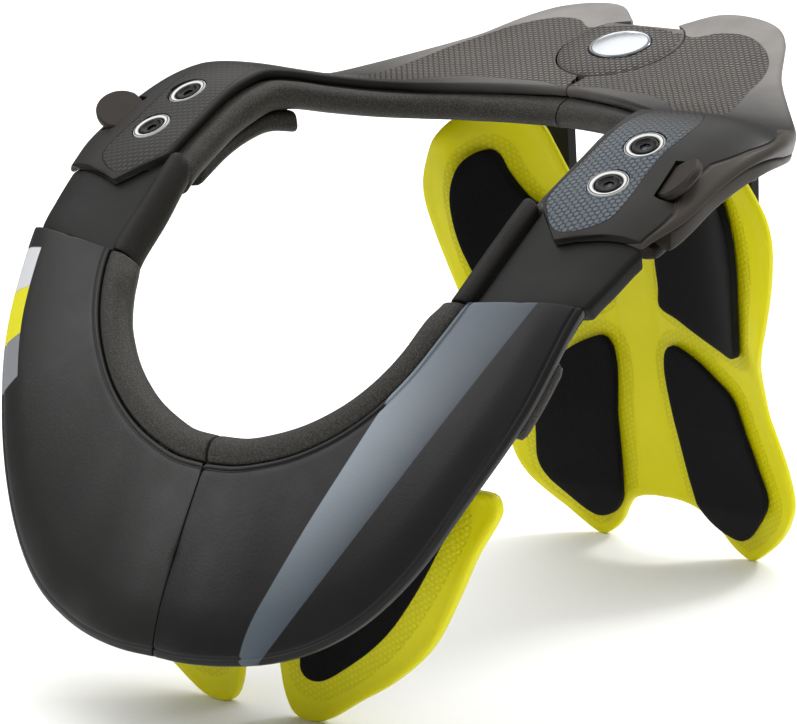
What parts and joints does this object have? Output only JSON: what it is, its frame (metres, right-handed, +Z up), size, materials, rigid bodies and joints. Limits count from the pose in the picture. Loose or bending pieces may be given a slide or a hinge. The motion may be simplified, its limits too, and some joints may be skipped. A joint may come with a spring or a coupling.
{
  "type": "motocross neck brace",
  "caption": "Motocross neck brace: hinged collar halves round a neck opening, with foam rolls, padded chest flaps and a padded back plate on struts.",
  "frame": {"origin": "bottom centre of the bounding box, on the floor the brace stands on", "axes": "+X the wearer's left, +Y the wearer's back, +Z up"},
  "size_m": [0.2966, 0.3223, 0.2235],
  "materials": {
    "shell": "satin black moulded shell with a grey stripe",
    "carbon": "carbon weave under satin lacquer",
    "plastic": "satin dark moulded plastic",
    "foam": "heathered soft cover on foam",
    "leather": "smooth soft sleeve",
    "yellow": "fluorescent yellow moulded plastic, honeycomb round the pads",
    "steel": "blackened socket screw",
    "ring": "white printed washer",
    "badge": "bright domed oval",
    "pad": "near-black soft pad"
  },
  "bodies": {
    "rear_core": {"hinge_disc": "carbon", "badge": "badge", "hinge_bridge": "plastic", "back_plate": "yellow", "upper_back_pad_left": "pad", "upper_back_pad_right": "pad", "lower_back_pad_left": "pad", "lower_back_pad_right": "pad"},
    "left_half": {"washer_rear_left": "ring", "screw_rear_left": "steel", "washer_front_left": "ring", "screw_front_left": "steel", "front_shell_left": "shell", "front_pad_left": "foam", "sleeve_left": "leather", "connector_left": "plastic", "rear_cover_left": "carbon", "lower_shell_left": "plastic", "rear_pad_left": "foam", "shoulder_pad_left": "foam", "rim_pad_left": "foam", "front_frame_left": "plastic", "chest_flap_left": "yellow", "flap_pad_front_left": "pad", "flap_pad_back_left": "pad"},
    "right_half": {"washer_rear_right": "ring", "screw_rear_right": "steel", "washer_front_right": "ring", "screw_front_right": "steel", "front_shell_right": "shell", "front_pad_right": "foam", "sleeve_right": "leather", "connector_right": "plastic", "rear_cover_right": "carbon", "lower_shell_right": "plastic", "rear_pad_right": "foam", "shoulder_pad_right": "foam", "rim_pad_right": "foam", "front_frame_right": "plastic", "chest_flap_right": "yellow", "flap_pad_front_right": "pad", "flap_pad_back_right": "pad"}
  },
  "joints": [
    {"name": "left_hinge", "type": "hinge", "parent": "rear_core", "child": "left_half", "pos_m": [0, 0.12455, 0.2132], "axis": [0, -0.2974, 0.9548], "range_deg": [0, 15]},
    {"name": "right_hinge", "type": "hinge", "parent": "rear_core", "child": "right_half", "pos_m": [0, 0.12455, 0.2132], "axis": [0, -0.2974, 0.9548], "range_deg": [-15, 0]}
  ]
}
